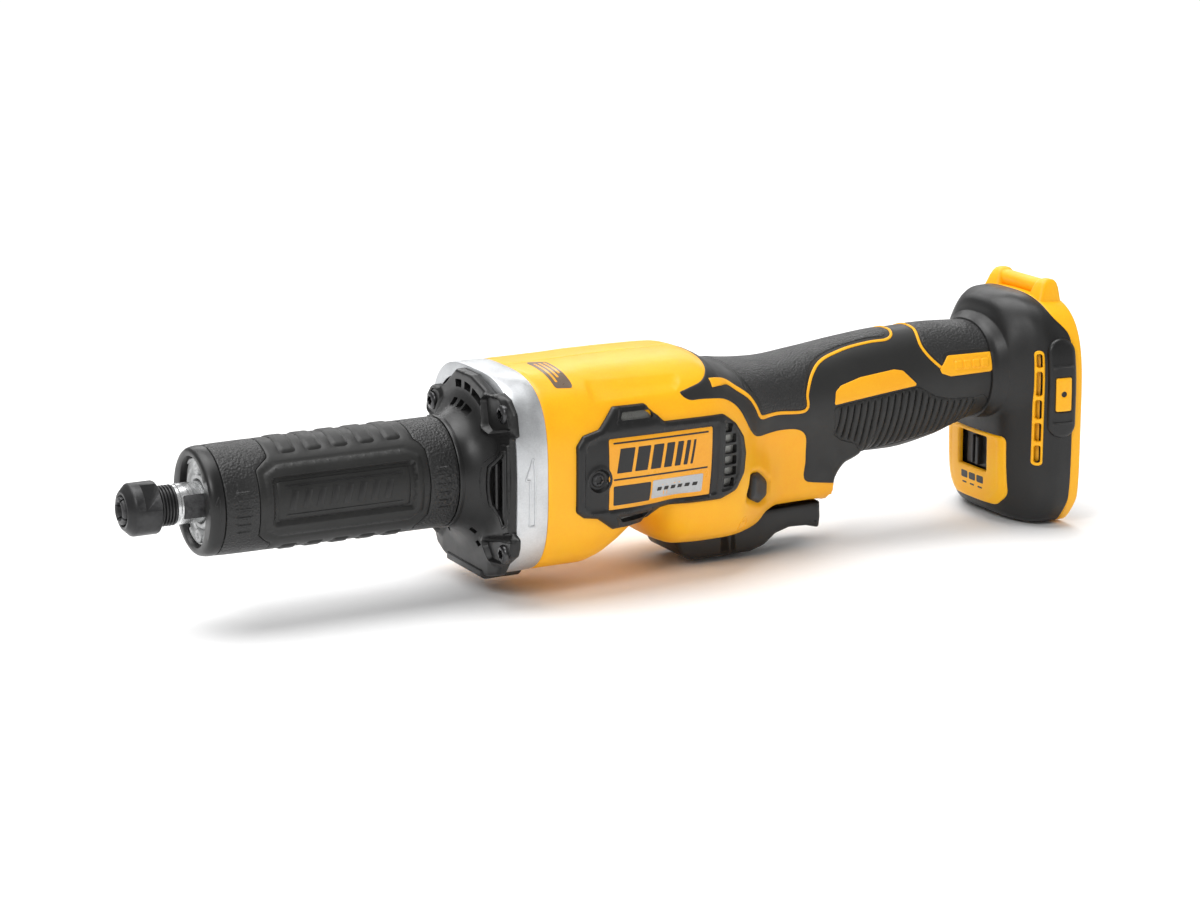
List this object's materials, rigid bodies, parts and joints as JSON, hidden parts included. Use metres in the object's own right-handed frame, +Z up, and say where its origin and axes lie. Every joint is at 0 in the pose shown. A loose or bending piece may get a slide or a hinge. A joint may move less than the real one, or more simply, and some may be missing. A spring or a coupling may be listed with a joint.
{
  "type": "die grinder",
  "caption": "Long-nose cordless die grinder with a collet spindle, paddle switch, variable speed slide and slide-pack battery foot.",
  "frame": {"origin": "centre of the bounding box in X and Y, on the lowest point of the battery foot", "axes": "-X along the spindle towards the collet, +X towards the battery, +Z up away from the paddle; node names ending in right are on the +Y side, left on the -Y side"},
  "size_m": [0.4, 0.0808, 0.1008],
  "materials": {
    "yellow_nylon": "fine matt moulded texture",
    "black_nylon": "matt moulded",
    "black_elastomer": "soft grained overmould",
    "satin_aluminium": "satin die cast",
    "bright_steel": "ground",
    "black_oxide_steel": "black oxide",
    "copper_wire": "enamelled copper winding",
    "laminated_iron": "laminated",
    "brass_contact": "plain",
    "filter_mesh": "woven mesh",
    "label_film": "printed film without lettering"
  },
  "bodies": {
    "housing": {"housing_left": "yellow_nylon", "housing_right": "yellow_nylon", "foot_vent_left": "yellow_nylon", "foot_vent_right": "yellow_nylon", "chip_insert_left": "yellow_nylon", "chip_insert_right": "yellow_nylon", "speed_bezel": "yellow_nylon", "foot_rear_frame": "yellow_nylon", "lanyard_pin": "yellow_nylon", "nose_collar": "black_nylon", "vent_housing": "black_nylon", "filter_cover_left": "black_nylon", "filter_cover_right": "black_nylon", "switch_module": "black_nylon", "foot_shell": "black_nylon", "battery_deck": "black_nylon", "terminal_block": "black_nylon", "grip_boot": "black_elastomer", "palm_grip": "black_elastomer", "rear_grip": "black_elastomer", "handle_grip_left": "black_elastomer", "handle_grip_right": "black_elastomer", "chip_cover_left": "black_elastomer", "chip_cover_right": "black_elastomer", "bearing_retainer": "satin_aluminium", "spindle_tube": "satin_aluminium", "motor_ring": "satin_aluminium", "control_module": "satin_aluminium", "front_bearing": "bright_steel", "spindle_rear_bearing": "bright_steel", "rotor_front_bearing": "bright_steel", "rotor_rear_bearing": "bright_steel", "paddle_pivot_pin": "bright_steel", "paddle_spring": "bright_steel", "lock_spring": "bright_steel", "housing_screw_1": "black_oxide_steel", "housing_screw_2": "black_oxide_steel", "housing_screw_3": "black_oxide_steel", "housing_screw_4": "black_oxide_steel", "cover_screw_left": "black_oxide_steel", "cover_screw_right": "black_oxide_steel", "stator_winding_front": "copper_wire", "stator_winding_rear": "copper_wire", "stator_core": "laminated_iron", "terminal_positive": "brass_contact", "terminal_negative": "brass_contact", "filter_mesh_left": "filter_mesh", "filter_mesh_right": "filter_mesh", "name_plate_left": "label_film", "name_plate_right": "label_film"},
    "spindle_line": {"spindle": "bright_steel", "shaft_coupling": "black_oxide_steel", "rotor_core": "laminated_iron", "cooling_fan": "black_nylon"},
    "collet_body": {"collet": "bright_steel"},
    "nut_body": {"collet_nut": "black_oxide_steel"},
    "paddle_body": {"paddle": "black_nylon"},
    "plunger_body": {"switch_plunger": "brass_contact"},
    "lock_body": {"lock_button": "black_nylon"},
    "speed_body": {"speed_slider": "black_nylon"}
  },
  "joints": [
    {"name": "spindle_spin", "type": "hinge", "parent": "housing", "child": "spindle_line", "pos_m": [-0.122, 0, 0.04784], "axis": [1, 0, 0], "continuous": true},
    {"name": "collet_slide", "type": "slide", "parent": "spindle_line", "child": "collet_body", "axis": [-1, 0, 0], "range_m": [0, 0.003]},
    {"name": "collet_nut_turn", "type": "hinge", "parent": "collet_body", "child": "nut_body", "pos_m": [-0.19, 0, 0.04784], "axis": [-1, 0, 0], "range_deg": [0, 1083]},
    {"name": "paddle_squeeze", "type": "hinge", "parent": "housing", "child": "paddle_body", "pos_m": [0.022, 0, 0.01683], "axis": [0, -1, 0], "range_deg": [0, 4.5], "stiffness_Nm_per_rad": 6, "springref_deg": -2.86, "deforming": ["paddle_spring"]},
    {"name": "switch_plunger_travel", "type": "slide", "parent": "housing", "child": "plunger_body", "axis": [0, 0, 1], "range_m": [0, 0.0028]},
    {"name": "lock_button_push", "type": "slide", "parent": "housing", "child": "lock_body", "axis": [0, 1, 0], "range_m": [0, 0.0025], "stiffness_N_per_m": 600, "springref_m": -0.001, "deforming": ["lock_spring"]},
    {"name": "speed_select", "type": "slide", "parent": "housing", "child": "speed_body", "axis": [0, 1, 0], "range_m": [-0.0055, 0.0055]}
  ],
  "couplings": [
    {"joint": "collet_nut_turn", "follows": "collet_slide", "rad_per_m": 6283.2},
    {"joint": "switch_plunger_travel", "follows": "paddle_squeeze", "m_per_rad": 0.033}
  ]
}
